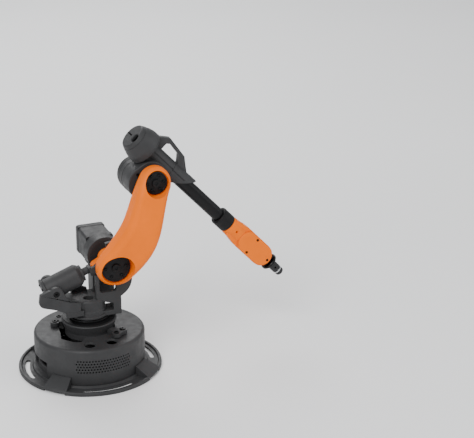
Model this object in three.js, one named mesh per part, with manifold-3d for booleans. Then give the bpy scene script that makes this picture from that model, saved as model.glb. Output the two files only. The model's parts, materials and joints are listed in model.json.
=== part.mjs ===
// Desktop six-axis robot arm: a round base, a turret with a spring balancer, an upper arm,
// a forearm with a roll tube, a wrist and a tool socket.
// Millimetres. +Z is up and +X is the way the arm reaches. The origin is the centre of the base's underside.
// Angles about +Z are in degrees from +X. The base's vents look along -Y.

import * as THREE from "three";
import { mergeVertices } from "three/addons/utils/BufferGeometryUtils.js";
import Module from "manifold-3d";

const wasm = await Module();
wasm.setup();

// ---------------------------------------------------------------- driving dimensions

const GAP = 0.35; // between faces that touch on the real arm

const BASE = {
  rimR: 97.2, // outer radius of the flange
  rimTop: 5.5, // height of the flange's rim
  channelZ: 3, // floor of the channels that hold the slots
  lipR: 93.4, // where the rim's lip starts
  seatR: 77.5, // outer edge of the step that the cover stands on
  boreR: 66, // opening in the flange, closed by the bottom plate
  slotR: 85.5, // centre line of the mounting slots
  slotHalf: 3.2, // half the width of a mounting slot
  coverR: 75, // outer radius of the cover
  wall: 3, // thickness of the cover
  shoulderZ: 53.5, // top of the cover's upright wall
  topZ: 57.5, // top of the cover at its opening
  openingR: 34.6, // opening in the cover's top
  padTop: 16.5, // height of the pads at the cover
  collarR: 70, // outer radius of the flange's collar inside the cover
  collarTop: 17,
};
const PADS = [-137, -43, 57, 123]; // centres of the sloping pads between cover and rim
const PAD_HALF = 10.5;
const SLOTS = [{ at: 173, half: 17 }, { at: 7, half: 17 }, { at: -90, half: 22 }];
const CABLE_HOLES = [-106, -75.3];
const CABLE_HOLE_R = 7.3;
const CABLE_HOLE_AT = 56.7;
const CABLE_EXIT = [
  [-32, 8], [-39.6, 18.6], [-42.2, -6.4], [-46, -24], [-32.7, -39.4], [-23.2, -43.2], [-15.8, -33],
];
const NOTCH = { half: 23, top: 28 }; // cut-aways in the cover's lower edge, left and right
const PORTS = { x: [-24, 0, 24], half: 7.2, z0: 18, z1: 34 };

const HOUSING = { r: 37.5, footR: 33, bottom: 50, top: 72.2 };
const LUGS = [{ at: 145.5, spread: 10.7, boltR: 46.5 }, { at: -54.4, spread: 7.4, boltR: 51.7 }];
const LUG_BOLTS = LUGS.flatMap(({ at, spread, boltR }) => [[boltR, at - spread], [boltR, at + spread]]);
const LUG_TOP = 63.4;
const LUG_SEAT = 60.4; // where the housing's bolts sit
const REDUCER1 = { r: 36, bottom: 72.5, top: 74 };
const TURRET = { drumR: 23.5, bottom: 77.4, deckZ: 92, top: 103, columnX: 41 };

const J2 = { x: 28.5, z: 154 }; // shoulder axis, along Y
const UPPER = 126; // shoulder axis to elbow axis
const LEAN = 26.7; // the upper arm's forward lean at rest, degrees
const ARM = { near: -50, far: -25.4, bulge: 0.36 }; // faces of the upper arm, along Y
const EAR = { y0: -18.4, y1: -12.4, r: 28.6 }; // shoulder plate of the turret

const PITCH = 47; // the forearm's dip below level at rest, degrees
const OFFSET = 24.4; // forearm axis above the elbow axis
const HUB = { r: 22.5, lowR: 24, drop: 9.5, y0: -21.6, y1: 8 }; // oval hub around the elbow axis
const MOTOR3_H = -OFFSET - HUB.drop; // the elbow motor's axis, below the elbow axis and geared to it

const TRUNNION = { x: -50, z: 122 }; // hinge of the balancer's barrel, along Y
const EYE = { x: 12.4, z: 144.6 }; // hinge of the balancer's rod at rest, along Y
const CRANK = { half: 5.6, hubR: 12, eyeR: 6.6, pinR: 2.9 }; // crank of the balancer, on the shoulder shaft
const EYE_Y = { y0: -12, y1: -6.1 }; // thickness of the rod's eye
const BARREL_R = 15.5;
const YOKE = { inner: 18, outer: 24, bossR: 8, holeR: 4.3 };

const TUBE_R = 9.2; // black forearm tube
const SLEEVE_R = 13.6;
const WRIST = { s: 212.5, half: 15.7, near: 14.5 }; // wrist axis on the forearm, and the housing's half sizes
const FLANGE_S = 233.5; // back of the tool flange

// ---------------------------------------------------------------- colours

const COLORS = {
  casting: { color: 0x4f4f50, roughness: 0.55, metalness: 0.25 },
  motor: { color: 0x6a6a6b, roughness: 0.5, metalness: 0.3 },
  orange: { color: 0xec8c2d, roughness: 0.42, metalness: 0.0 },
  black: { color: 0x141415, roughness: 0.45, metalness: 0.1 },
  steel: { color: 0xa9abad, roughness: 0.3, metalness: 0.9 },
  brass: { color: 0xb08d4a, roughness: 0.35, metalness: 0.9 },
  board: { color: 0x1d5a35, roughness: 0.6, metalness: 0.0 },
  rubber: { color: 0x1a1a1a, roughness: 0.9, metalness: 0.0 },
};

// ---------------------------------------------------------------- solids from three.js geometry

const rad = THREE.MathUtils.degToRad;
const polar = (r, deg) => [r * Math.cos(rad(deg)), r * Math.sin(rad(deg))];

function signedVolume(points, index) {
  const [a, b, c] = [new THREE.Vector3(), new THREE.Vector3(), new THREE.Vector3()];
  let six = 0;
  for (let i = 0; i < index.length; i += 3) {
    a.fromArray(points, index[i] * 3);
    b.fromArray(points, index[i + 1] * 3);
    c.fromArray(points, index[i + 2] * 3);
    six += a.dot(b.cross(c));
  }
  return six / 6;
}

// A manifold solid from a closed three.js geometry, whichever way its faces point.
function solid(geometry) {
  geometry.deleteAttribute("normal");
  geometry.deleteAttribute("uv");
  const merged = mergeVertices(geometry, 1e-4);
  const points = merged.attributes.position.array;
  const index = [];
  const all = merged.index.array;
  for (let i = 0; i < all.length; i += 3) {
    const [p, q, r] = [all[i], all[i + 1], all[i + 2]];
    if (p !== q && q !== r && r !== p) index.push(p, q, r);
  }
  if (signedVolume(points, index) < 0) index.reverse();
  const mesh = new wasm.Mesh({
    numProp: 3,
    vertProperties: new Float32Array(points),
    triVerts: new Uint32Array(index),
  });
  return new wasm.Manifold(mesh);
}

const join = (first, ...rest) => rest.reduce((whole, piece) => whole.add(piece), first);
const cut = (first, ...rest) => rest.reduce((whole, piece) => whole.subtract(piece), first);

// More sides on a larger round.
const sidesFor = (r) => 4 * Math.round(1 + 0.8 * Math.sqrt(r));

// Cylinders along one axis, from a to b, centred on the two other coordinates.
function alongZ(r, a, b, x = 0, y = 0) {
  const g = new THREE.CylinderGeometry(r, r, b - a, sidesFor(r));
  return solid(g.rotateX(Math.PI / 2).translate(x, y, (a + b) / 2));
}

function alongY(r, a, b, x = 0, z = 0) {
  const g = new THREE.CylinderGeometry(r, r, b - a, sidesFor(r));
  return solid(g.translate(x, (a + b) / 2, z));
}

function alongX(r, a, b, y = 0, z = 0) {
  const g = new THREE.CylinderGeometry(r, r, b - a, sidesFor(r));
  return solid(g.rotateZ(-Math.PI / 2).translate((a + b) / 2, y, z));
}

// A box from its lowest to its highest corner.
function block(x0, x1, y0, y1, z0, z1) {
  const g = new THREE.BoxGeometry(x1 - x0, y1 - y0, z1 - z0);
  return solid(g.translate((x0 + x1) / 2, (y0 + y1) / 2, (z0 + z1) / 2));
}

// Turned shapes about Z and about X from [radius, distance] points, closed onto the first point if bored.
function lathe(points) {
  const profile = points.map(([r, along]) => new THREE.Vector2(r, along));
  const onAxis = points[0][0] === 0 && points[points.length - 1][0] === 0;
  if (!onAxis) profile.push(profile[0].clone());
  return new THREE.LatheGeometry(profile, sidesFor(Math.max(...points.map(([r]) => r))));
}

const turned = (points) => solid(lathe(points).rotateX(Math.PI / 2));
const turnedX = (points) => solid(lathe(points).rotateZ(-Math.PI / 2));

// A plate whose outline is drawn in X and Z, from y0 to y1, with rounded edges if round is given.
function plate(shape, y0, y1, round = 0, steps = 3, curveSegments = 10) {
  const g = new THREE.ExtrudeGeometry(shape, {
    depth: y1 - y0 - 2 * round,
    curveSegments,
    bevelEnabled: round > 0,
    bevelThickness: round,
    bevelSize: round,
    bevelOffset: -round,
    bevelSegments: steps,
  });
  return solid(g.rotateX(Math.PI / 2).translate(0, y1 - round, 0));
}

// A slab whose outline is drawn in X and Y, from z0 to z1.
function slab(shape, z0, z1, curveSegments = 16) {
  const g = new THREE.ExtrudeGeometry(shape, { depth: z1 - z0, curveSegments, bevelEnabled: false });
  return solid(g.translate(0, 0, z0));
}

// A ring sector about Z, given by its middle angle and half its span in degrees.
function sector(r0, r1, at, half, z0, z1) {
  const shape = new THREE.Shape();
  shape.absarc(0, 0, r1, rad(at - half), rad(at + half), false);
  shape.absarc(0, 0, r0, rad(at + half), rad(at - half), true);
  shape.closePath();
  return slab(shape, z0, z1, 5);
}

function polygon(points) {
  return new THREE.Shape(points.map(([x, y]) => new THREE.Vector2(x, y)));
}

function circle(x, z, r) {
  const shape = new THREE.Shape();
  shape.absarc(x, z, r, 0, 2 * Math.PI, false);
  return shape;
}

// ---------------------------------------------------------------- the scene graph

function geometryOf(manifold) {
  const mesh = manifold.getMesh();
  const positions = new Float32Array((mesh.vertProperties.length / mesh.numProp) * 3);
  for (let i = 0; i < positions.length / 3; i++) {
    for (let k = 0; k < 3; k++) positions[3 * i + k] = mesh.vertProperties[i * mesh.numProp + k];
  }
  const geometry = new THREE.BufferGeometry();
  geometry.setAttribute("position", new THREE.BufferAttribute(positions, 3));
  geometry.setIndex(new THREE.BufferAttribute(new Uint32Array(mesh.triVerts), 1));
  geometry.computeVertexNormals();
  return geometry;
}

function piece(group, name, look, manifold) {
  const mesh = new THREE.Mesh(geometryOf(manifold), new THREE.MeshStandardMaterial(COLORS[look]));
  mesh.name = name;
  group.add(mesh);
}

const arm = new THREE.Group();

// ---------------------------------------------------------------- base

function baseFlange() {
  const { rimR, rimTop, channelZ, lipR, seatR, boreR, slotR, slotHalf } = BASE;
  const profile = [
    [boreR, 0], [rimR - 1, 0], [rimR, 1], [rimR, rimTop - 1.2], [rimR - 1.2, rimTop],
    [lipR, rimTop], [lipR - 1, channelZ], [seatR + 1, channelZ], [seatR, rimTop], [boreR, rimTop],
  ];
  const { coverR, padTop, collarR, collarTop } = BASE;
  const collar = turned([[collarR - 3, 1], [collarR, 1], [collarR, collarTop], [collarR - 3, collarTop]]);
  const ramp = turned([
    [coverR + GAP, 1], [rimR - 1, 1], [rimR - 1, rimTop], [coverR + 1.2, padTop], [coverR + GAP, padTop],
  ]);
  let flange = turned(profile).add(collar);
  for (const at of PADS) {
    flange = flange.add(ramp.intersect(sector(seatR - 4, rimR + 5, at, PAD_HALF, 0, padTop + 5)));
    flange = flange.subtract(sector(lipR - 2, rimR + 5, at, PAD_HALF - 1, -1, 3));
  }
  for (const { at, half } of SLOTS) {
    const [r0, r1] = [slotR - slotHalf, slotR + slotHalf];
    flange = flange.subtract(sector(r0, r1, at, half, -1, rimTop + 4));
    for (const end of [at - half, at + half]) {
      flange = flange.subtract(alongZ(slotHalf, -1, rimTop + 4, ...polar(slotR, end)));
    }
  }
  return flange;
}

function baseCover() {
  const { coverR, wall, rimTop, shoulderZ, topZ, openingR } = BASE;
  const floor = rimTop + GAP;
  const outside = [
    [coverR, floor], [coverR, shoulderZ - 1], [coverR - 1.2, shoulderZ + 0.9], [coverR - 4, shoulderZ + 1.9],
    [openingR, topZ], [openingR, topZ - wall],
    [coverR - 5, shoulderZ - 1.6], [coverR - wall, shoulderZ - 3.5], [coverR - wall, floor],
  ];
  let cover = turned(outside);
  for (const at of CABLE_HOLES) {
    cover = cover.subtract(alongZ(CABLE_HOLE_R, 40, 70, ...polar(CABLE_HOLE_AT, at)));
  }
  cover = cover.subtract(slab(polygon(CABLE_EXIT), 40, 70));
  for (const at of [0, 180]) cover = cover.subtract(sector(60, 90, at, NOTCH.half, 0, NOTCH.top));
  const { half, z0, z1 } = PORTS;
  for (const x of PORTS.x) cover = cover.subtract(block(x - half, x + half, 60, 80, z0, z1));
  return cover;
}

function bottomPlate() {
  return alongZ(BASE.boreR - GAP - 0.2, 0, 3);
}

function housing1() {
  const { r, footR, bottom, top } = HOUSING;
  const foot = BASE.topZ + GAP + 0.3;
  let body = turned([
    [10, bottom], [footR, bottom], [footR, foot], [r, top - 1.2], [r - 1.2, top], [10, top],
  ]);
  for (const { at, spread, boltR } of LUGS) {
    body = body.add(sector(footR - 1, boltR + 4.6, at, spread, foot, LUG_TOP));
  }
  for (const [boltR, at] of LUG_BOLTS) body = body.add(alongZ(6.2, foot, LUG_TOP, ...polar(boltR, at)));
  for (const [boltR, at] of LUG_BOLTS) body = body.subtract(alongZ(4.2, LUG_SEAT, 70, ...polar(boltR, at)));
  return body;
}

function buildBase() {
  const base = new THREE.Group();
  piece(base, "base_flange", "casting", baseFlange());
  piece(base, "base_cover", "casting", baseCover());
  piece(base, "bottom_plate", "black", bottomPlate());
  piece(base, "control_board", "board", block(-38, 30, 28, 52, 6.5, 8.2));
  piece(base, "j1_motor", "motor", block(-21, 21, -21, 21, 6, HOUSING.bottom - GAP));
  piece(base, "j1_housing", "casting", housing1());
  for (const [i, [boltR, at]] of LUG_BOLTS.entries()) {
    const [x, y] = polar(boltR, at);
    const head = alongZ(3.4, LUG_SEAT + GAP, LUG_TOP + 1.4, x, y);
    piece(base, `j1_housing_bolt_${i + 1}`, "black", cut(head, alongZ(1.7, LUG_TOP - 0.6, 70, x, y)));
  }
  const { r, bottom, top } = REDUCER1;
  const ring = turned([[12, bottom], [r, bottom], [r, top - 0.5], [r - 0.5, top], [12, top]]);
  piece(base, "j1_reducer", "black", ring);
  piece(base, "power_socket", "black", cut(block(17.2, 30.8, 60, 73.4, 19, 33), alongY(3.2, 64, 80, 24, 26)));
  const dataBody = block(-6.2, 6.2, 62, 74.4, 20.5, 31.5);
  piece(base, "data_socket", "steel", cut(dataBody, block(-4.2, 4.2, 66, 80, 22.6, 29.4)));
  piece(base, "power_button", "rubber", block(-30.4, -17.6, 66.5, 74.6, 18.8, 33.2));
  arm.add(base);
}

// ---------------------------------------------------------------- turret (turns on the base)

// The shoulder plate: a strip at the back, a rounded front side up to a ring around the shoulder axis,
// and a window between them, below the axis.
function shoulderPlate() {
  const { y0, y1, r } = EAR;
  const shape = new THREE.Shape();
  shape.moveTo(6, 101);
  shape.bezierCurveTo(14, 100.5, 22, 95, 31, 95);
  shape.lineTo(TURRET.columnX, 92);
  shape.lineTo(TURRET.columnX, TURRET.top);
  shape.bezierCurveTo(49, 108, 57.1, 114, 57.1, 130);
  shape.lineTo(57.1, J2.z);
  shape.absarc(J2.x, J2.z, r, 0, rad(105), false);
  shape.lineTo(J2.x - 3, J2.z + 12);
  shape.absarc(J2.x, J2.z, 12.4, rad(104), rad(-60), true);
  shape.lineTo(34.5, 116.5);
  shape.bezierCurveTo(34.5, 113, 33, 111.5, 29.5, 111.5);
  shape.lineTo(16, 111.5);
  shape.bezierCurveTo(12.5, 111.5, 11, 113, 11, 116.5);
  shape.lineTo(11, 137);
  shape.lineTo(6, 137);
  shape.closePath();
  return plate(shape, y0, y1, 0, 1, 14);
}

// The yoke arms for the balancer's barrel: the near one ends in a long tail, the far one is a plain lever.
function nearYokeShape(x, z, eyeR) {
  const { deckZ, top } = TURRET;
  const shape = new THREE.Shape();
  shape.moveTo(-17, deckZ);
  shape.lineTo(-37, deckZ);
  shape.lineTo(-50.5, 99);
  shape.lineTo(-66, 104);
  shape.bezierCurveTo(-71, 105.5, -73.5, 108, -73.5, 113);
  shape.lineTo(-72, 124);
  shape.lineTo(-60, 128);
  shape.absarc(x, z, eyeR, rad(140), rad(50), true);
  shape.bezierCurveTo(-40, 126, -37, 111, -30, 108);
  shape.lineTo(-17, top + 2);
  shape.closePath();
  return shape;
}

function farYokeShape(x, z, eyeR) {
  const { deckZ } = TURRET;
  const shape = new THREE.Shape();
  shape.moveTo(-18, 112);
  shape.absarc(x, z, eyeR, rad(260), rad(50), true);
  shape.bezierCurveTo(-40, 126, -34, 121, -24, 117);
  shape.lineTo(4, 106);
  shape.lineTo(4, deckZ);
  shape.lineTo(-18, deckZ);
  shape.closePath();
  return shape;
}

function yokeArm(side) {
  const { inner, outer, bossR, holeR } = YOKE;
  const { x, z } = TRUNNION;
  const near = side < 0;
  const shape = near ? nearYokeShape(x, z, bossR + 1.6) : farYokeShape(x, z, bossR + 1.6);
  const [a, b] = near ? [-outer, -inner] : [inner, outer];
  const boss = near ? alongY(bossR, a - 1.2, b, x, z) : alongY(bossR, a, b + 1.2, x, z);
  return cut(join(plate(shape, a, b), boss), alongY(holeR, a - 3, b + 3, x, z));
}

function turretCasting() {
  const { drumR, bottom, deckZ, top, columnX } = TURRET;
  const drum = turned([
    [0, bottom], [drumR + 2.4, bottom], [drumR + 2.4, bottom + 3.4], [drumR, bottom + 4.2],
    [drumR, bottom + 9.6], [drumR - 0.8, bottom + 10.2], [drumR - 0.8, top - 2], [drumR - 2.6, top], [0, top],
  ]);
  const foot = block(10, columnX, EAR.y0, 6, bottom, bottom + 7);
  const column = block(30, columnX, EAR.y0, -4, bottom + 2, 108);
  const deck = block(-34, -6, -YOKE.inner - 1, YOKE.inner + 1, deckZ, top);
  const farPost = block(10, 40, 8.5, 32, deckZ, 136);
  const farRing = alongY(24, 12, 32, J2.x, J2.z);
  const lowBlock = block(-38, -13, -YOKE.outer, -14, 84.8, deckZ + 0.5);
  let body = join(drum, foot, column, deck, farPost, farRing, lowBlock);
  body = join(body, shoulderPlate(), yokeArm(-1), yokeArm(1));
  body = body.subtract(alongY(20, 8, 40, J2.x, J2.z)); // seat of the shoulder reducer
  body = body.subtract(alongZ(6.6, 86, 110, -2, -8)); // cable hole
  body = body.subtract(alongY(9.6, -22, -8, J2.x, J2.z)); // seat of the shoulder bearing
  return body;
}

function buildTurret() {
  const turret = new THREE.Group();
  piece(turret, "turret_casting", "casting", turretCasting());
  const output = join(turned([[0, 74.35], [28, 74.35], [28, 76], [27, 77], [0, 77]]), alongZ(8, 56, 75));
  piece(turret, "j1_output_shaft", "black", output);
  const reducer = cut(alongY(19.6, 12, 32.2, J2.x, J2.z), alongY(8.4, 8, 20, J2.x, J2.z));
  piece(turret, "j2_reducer", "motor", reducer);
  piece(turret, "j2_motor", "motor", motorBox(J2.x, J2.z, 32.2 + GAP, 80, 19.5));
  piece(turret, "j2_motor_cap", "black", plate(roundedSquare(J2.x, J2.z, 18.6, 4), 80 + GAP, 83));
  const bearing = cut(alongY(9.3, EAR.y0 + 0.6, EAR.y1 - 0.6, J2.x, J2.z), alongY(7.4, -30, 0, J2.x, J2.z));
  piece(turret, "j2_bearing", "steel", bearing);
  for (const [label, side] of [["near", -1], ["far", 1]]) {
    const ends = [side * (YOKE.inner - 1.6), side * (YOKE.outer - 1)].sort((p, q) => p - q);
    piece(turret, `balancer_pivot_${label}`, "steel", alongY(3.9, ends[0], ends[1], TRUNNION.x, TRUNNION.z));
  }
  arm.add(turret);
}

function roundedSquare(x, z, half, corner) {
  const shape = new THREE.Shape();
  const d = half - corner;
  for (const [i, [sx, sz]] of [[1, -1], [1, 1], [-1, 1], [-1, -1]].entries()) {
    shape.absarc(x + sx * d, z + sz * d, corner, rad(90 * i - 90), rad(90 * i), false);
  }
  shape.closePath();
  return shape;
}

// A square motor with chamfered long edges.
function motorBox(x, z, y0, y1, half) {
  return plate(roundedSquare(x, z, half, 3.2), y0, y1, 0, 1, 3);
}

// ---------------------------------------------------------------- upper arm (turns at the shoulder)
// Drawn upright with the shoulder axis at the origin and the elbow axis at z = UPPER, then leaned forward.

function upperArmOutline() {
  const shape = new THREE.Shape();
  shape.absarc(0, 0, 26, rad(180), rad(352), false);
  shape.bezierCurveTo(31, 14, 36, 32, 33.5, 56);
  shape.bezierCurveTo(31.5, 76, 22.5, 100, 21.2, UPPER - 3);
  shape.absarc(0, UPPER, 21.2, rad(-8), rad(180), false);
  shape.bezierCurveTo(-22, 100, -17, 80, -16.5, 62);
  shape.bezierCurveTo(-16, 44, -23, 22, -26, 0);
  return shape;
}

// The near face's distance from the middle plane at a height on the arm: it swells between the joints.
const nearFace = (z) => ARM.near - ARM.bulge * z * (1 - z / UPPER);
const FACE_STEPS = 12;

// A body with the near face's swell, wider than the arm.
function swell() {
  const [bottom, top] = [-30, UPPER + 26];
  const shape = new THREE.Shape();
  shape.moveTo(ARM.far, bottom);
  for (let i = 0; i <= FACE_STEPS; i++) {
    const z = bottom + ((top - bottom) * i) / FACE_STEPS;
    shape.lineTo(nearFace(z), z);
  }
  shape.lineTo(ARM.far, top);
  shape.closePath();
  const g = new THREE.ExtrudeGeometry(shape, { depth: 100, bevelEnabled: false });
  return solid(g.rotateX(Math.PI / 2).rotateZ(Math.PI / 2).translate(-50, 0, 0));
}

// The two recesses in the near face: radius, and the floor that the output disc sits on.
const ARM_RECESS = { lower: { r: 21.6, floor: -35.8 }, upper: { r: 17.2, floor: -39.5 } };
const SHAFT_BORE_R = 7.1;

function upperArmShell() {
  const body = plate(upperArmOutline(), nearFace(UPPER / 2) - 0.5, ARM.far, 9, 3, 6).intersect(swell());
  return cut(
    body,
    alongY(ARM_RECESS.lower.r, -80, ARM_RECESS.lower.floor),
    alongY(ARM_RECESS.upper.r, -80, ARM_RECESS.upper.floor, 0, UPPER),
    alongY(SHAFT_BORE_R, -45, -20),
    alongY(SHAFT_BORE_R, -45, -20, 0, UPPER),
  );
}

// The crank that pulls the balancer's rod: a hub on the shoulder shaft, an arm and its pin.
function balancerCrank() {
  const { half, hubR, eyeR, pinR } = CRANK;
  const [ex, ez] = [EYE.x - J2.x, EYE.z - J2.z];
  const lean = rad(LEAN);
  const [lx, lz] = [ex * Math.cos(lean) - ez * Math.sin(lean), ex * Math.sin(lean) + ez * Math.cos(lean)];
  const reach = Math.hypot(lx, lz);
  const [nx, nz] = [-lz / reach, lx / reach];
  const [sx, sz] = [nx * eyeR, nz * eyeR];
  const web = polygon([[sx, sz], [-sx, -sz], [lx - sx, lz - sz], [lx + sx, lz + sz]]);
  const arms = join(alongY(hubR, -half, half), alongY(eyeR, -half, half, lx, lz), plate(web, -half, half));
  return join(cut(arms, alongY(SHAFT_BORE_R, -20, 20)), alongY(pinR, EYE_Y.y0 + 0.9, 0, lx, lz));
}

function discWithBolts(x, z, r, y0, y1, boltCircle, count) {
  let disc = join(alongY(r, y0, y1, x, z), alongY(4.2, y0 - 2, y1, x, z));
  for (let i = 0; i < count; i++) {
    const [dx, dz] = polar(boltCircle, 30 + (360 / count) * i);
    disc = disc.add(alongY(2.3, y0 - 1.6, y1, x + dx, z + dz));
  }
  return disc;
}

function buildUpperArm() {
  const upper = new THREE.Group();
  upper.position.set(J2.x, 0, J2.z);
  upper.rotation.y = rad(LEAN);
  piece(upper, "upper_arm_shell", "orange", upperArmShell());
  const { lower: low, upper: high } = ARM_RECESS;
  const disc = (z, r, floor, circleR) => discWithBolts(0, z, r, floor - GAP - 2.4, floor - GAP, circleR, 6);
  piece(upper, "j2_output_disc", "black", disc(0, low.r - 1.6, low.floor, 14.2));
  piece(upper, "j3_output_disc", "black", disc(UPPER, high.r - 1.4, high.floor, 10.8));
  piece(upper, "j2_output_shaft", "steel", alongY(6.8, low.floor, 18));
  const ring = (r, r0, y0, y1, z) => cut(alongY(r, y0, y1, 0, z), alongY(r0, y0 - 1, y1 + 1, 0, z));
  piece(upper, "shoulder_ring", "motor", ring(11.6, 7.1, -25.1, -22.4, 0));
  piece(upper, "j3_output_shaft", "steel", alongY(6.8, high.floor, 6, 0, UPPER));
  piece(upper, "elbow_ring", "motor", ring(17.5, 7.1, -25.1, -22.6, UPPER));
  piece(upper, "balancer_crank", "orange", balancerCrank());
  arm.add(upper);
}

// ---------------------------------------------------------------- balancer
// Barrel and rod are drawn along +X with the barrel's hinge at the origin.

const ROD_R = 5.2;
const EYE_R = 6.4;
const BALANCER = {
  length: Math.hypot(EYE.x - TRUNNION.x, EYE.z - TRUNNION.z),
  tilt: Math.atan2(EYE.z - TRUNNION.z, EYE.x - TRUNNION.x),
};

function balancerGroup() {
  const group = new THREE.Group();
  group.position.set(TRUNNION.x, 0, TRUNNION.z);
  group.rotation.y = -BALANCER.tilt;
  return group;
}

function buildBalancer() {
  const barrel = balancerGroup();
  const tube = turnedX([
    [12.6, -8], [BARREL_R, -8], [BARREL_R, 38], [BARREL_R - 3, 42.5], [11.4, 42.5], [11.4, 46],
    [8.4, 46], [8.4, 39.5], [12.6, 39.5],
  ]);
  const cap = turnedX([
    [0, -12.5], [BARREL_R, -12.5], [BARREL_R + 2, -11.7], [BARREL_R + 2, -8.4],
    [12.2, -8.4], [12.2, -5], [0, -5],
  ]);
  piece(barrel, "balancer_barrel", "casting", cut(tube, alongY(4.2, -30, 30)));
  piece(barrel, "balancer_end_plate", "casting", cap);
  piece(barrel, "balancer_spring", "steel", spring(10.6, 0.9, 16.5, 38.6, 6));
  arm.add(barrel);

  const rod = balancerGroup();
  const { length } = BALANCER;
  const { y0, y1 } = EYE_Y;
  const shank = length - CRANK.eyeR - 1;
  const bar = join(alongX(ROD_R, 4, shank), block(shank - 5, shank, y0, 4, -ROD_R, ROD_R));
  const eye = join(block(shank - 5, length, y0, y1, -ROD_R, ROD_R), alongY(EYE_R, y0, y1, length, 0));
  piece(rod, "balancer_rod", "casting", cut(join(bar, eye), alongY(CRANK.pinR + 0.4, -20, 0, length, 0)));
  piece(rod, "balancer_piston", "steel", cut(alongX(7.2, -2.5, 1), alongX(2, -6, 6)));
  arm.add(rod);
}

const STEPS_PER_TURN = 10;

// A closed wire wound along X, from x0 to x1.
function spring(r, wire, x0, x1, turns) {
  const points = [];
  const steps = turns * STEPS_PER_TURN;
  for (let i = 0; i <= steps; i++) {
    const a = (i / STEPS_PER_TURN) * 2 * Math.PI;
    const x = x0 + wire + ((x1 - x0 - 2 * wire) * i) / steps;
    points.push(new THREE.Vector3(x, r * Math.cos(a), r * Math.sin(a)));
  }
  const path = new THREE.CatmullRomCurve3(points);
  return solid(new THREE.ExtrudeGeometry(circle(0, 0, wire), {
    steps, curveSegments: 2, bevelEnabled: false, extrudePath: path,
  }));
}

// ---------------------------------------------------------------- forearm
// Drawn along +X with the foot of the elbow axis at x = 0 and the elbow axis at z = -OFFSET, then dipped.

function forearmGroup() {
  const group = new THREE.Group();
  const pitch = rad(PITCH);
  const lean = rad(LEAN);
  const elbow = [J2.x + UPPER * Math.sin(lean), J2.z + UPPER * Math.cos(lean)];
  group.position.set(elbow[0] + OFFSET * Math.sin(pitch), 0, elbow[1] + OFFSET * Math.cos(pitch));
  group.rotation.y = pitch;
  return group;
}

// The hub is an oval: the hull of a circle around the elbow axis and a larger one below it.
function hubOutline() {
  const { r, lowR, drop } = HUB;
  const tilt = Math.asin((lowR - r) / drop);
  const shape = new THREE.Shape();
  shape.absarc(0, MOTOR3_H, lowR, Math.PI - tilt, 2 * Math.PI + tilt, false);
  shape.absarc(0, -OFFSET, r, tilt, Math.PI - tilt, false);
  shape.closePath();
  return shape;
}

function elbowCasting() {
  const hub = plate(hubOutline(), HUB.y0, HUB.y1, 0, 1, 18);
  const rim = alongY(24.4, HUB.y1, 17.2, 0, MOTOR3_H);
  const neck = block(-20, 18, -12, 12, -OFFSET, -6);
  const barrel = join(alongX(SLEEVE_R, -24, 20), alongX(20.5, -24, -21));
  const body = join(hub, rim, neck, barrel);
  return cut(
    body,
    alongX(TUBE_R + 2.4, -40, 40),
    alongY(7.4, -30, 8, 0, -OFFSET),
    alongY(9.6, -30, -17, 0, -OFFSET),
    alongY(20.5, 13, 20, 0, MOTOR3_H),
  );
}

function motorCap() {
  const cap = turnedX([
    [0, -52], [16.6, -52], [17.8, -51], [19.8, -46.9], [19.2, -46.6], [20.1, -46.2], [22.8, -39], [24.4, -32],
    [24.6, -24.4], [22.2, -24.4], [20.6, -38], [17.2, -48.2], [0, -48.2],
  ]);
  return cut(cap, alongX(6.2, -60, -40, -10.5, 0), block(-60, -40, 1, 16, -0.9, 0.9));
}

// The sleeve that carries the roll tube, with its oblique end and its open truss on top.
function forearmSleeve() {
  let sleeve = alongX(SLEEVE_R, 20 + GAP, 63);
  const oblique = polygon([[64, 14.5], [64, -30], [9.3, -30]]);
  sleeve = sleeve.subtract(plate(oblique, -20, 20));
  const web = polygon([[20.4, 8], [-23.6, 8], [-23.6, 23], [-10, 32], [24, 27], [41, 14.4], [46, 8]]);
  const opening = polygon([[24, 12], [22.5, 15.3], [15.4, 23.4], [-4.4, 26.3], [-9, 22.8], [-9, 12]]);
  const clearance = join(alongX(SLEEVE_R + GAP, -60, 20 + GAP), alongX(20.9, -60, -20.6));
  const truss = cut(plate(web, -4.6, 4.6), plate(opening, -9, 9), clearance);
  return cut(join(sleeve, truss), alongX(TUBE_R + 2, 0, 90));
}

function buildForearm() {
  const forearm = forearmGroup();
  piece(forearm, "elbow_casting", "casting", elbowCasting());
  piece(forearm, "j3_bearing", "steel",
    cut(alongY(9.3, -21.2, -17.3, 0, -OFFSET), alongY(7.1, -30, -10, 0, -OFFSET)));
  piece(forearm, "j3_motor", "motor", alongY(19.8, 13 + GAP, 26, 0, MOTOR3_H));
  piece(forearm, "j3_motor_cover", "motor", motorCover());
  piece(forearm, "j4_motor", "black", cut(alongX(15.6, -46.5, -26), alongX(3.2, -40, -20)));
  piece(forearm, "j4_motor_cap", "casting", motorCap());
  piece(forearm, "forearm_sleeve", "casting", forearmSleeve());
  for (const [label, at] of [["rear", -18], ["front", 22.5]]) {
    const outer = TUBE_R + (label === "rear" ? 2.2 : 1.8);
    const bearing = cut(alongX(outer, at, at + 6), alongX(TUBE_R + 0.8, at - 1, at + 7));
    piece(forearm, `j4_bearing_${label}`, "steel", bearing);
  }
  arm.add(forearm);
}

function motorCover() {
  const g = lathe([
    [0, 26.4], [20.3, 26.4], [20.3, 17.55], [24.4, 17.55], [24.4, 27], [21.6, 30], [0, 30],
  ]);
  return solid(g.translate(0, 0, MOTOR3_H));
}

// ---------------------------------------------------------------- forearm roll

const HOUSING5 = { start: 145, prong: 9.4, slot: 6.4, coverX: 183 };

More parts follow.
